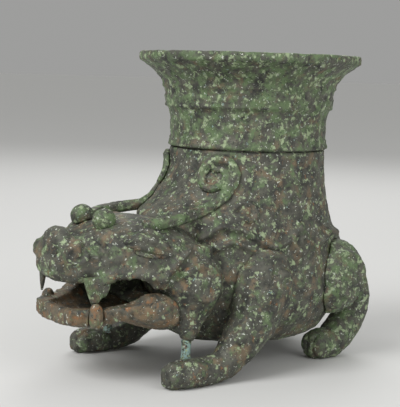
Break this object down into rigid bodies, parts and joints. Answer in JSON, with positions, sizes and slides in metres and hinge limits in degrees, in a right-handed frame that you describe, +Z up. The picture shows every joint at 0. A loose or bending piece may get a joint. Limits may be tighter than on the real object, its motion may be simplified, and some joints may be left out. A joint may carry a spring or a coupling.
{
  "type": "toad-shaped vessel",
  "caption": "Cast bronze vessel in the shape of a crouching toad-like beast with an open mouth, carrying a trumpet-mouthed neck on its back.",
  "frame": {"origin": "middle of the bounding box's floor, on the plane of the four soles", "axes": "+Z up, the beast faces -Y, its left side is +X"},
  "size_m": [0.145, 0.2284, 0.2],
  "materials": {
    "dark_bronze": "dark grey patina with a slight sheen",
    "green_bronze": "malachite green patina",
    "brown_bronze": "earthy brown patina",
    "pale_bronze": "pale blue-green patina"
  },
  "bodies": {
    "root": {"body_shell": "dark_bronze", "neck_collar": "green_bronze", "base_plate": "dark_bronze", "base_chaplet_1": "brown_bronze", "base_chaplet_2": "brown_bronze", "base_chaplet_3": "brown_bronze", "base_chaplet_4": "brown_bronze", "head": "dark_bronze", "lower_jaw": "brown_bronze", "left_eye": "green_bronze", "left_ear": "dark_bronze", "left_horn": "green_bronze", "left_lower_fang": "brown_bronze", "left_upper_fang": "green_bronze", "left_cheek_strut": "pale_bronze", "left_front_leg": "dark_bronze", "left_front_lock": "brown_bronze", "left_hind_leg": "green_bronze", "left_hind_lock": "brown_bronze", "right_eye": "green_bronze", "right_ear": "dark_bronze", "right_horn": "green_bronze", "right_lower_fang": "brown_bronze", "right_upper_fang": "brown_bronze", "right_cheek_strut": "pale_bronze", "right_front_leg": "dark_bronze", "right_front_lock": "brown_bronze", "right_hind_leg": "green_bronze", "right_hind_lock": "brown_bronze"}
  },
  "joints": []
}
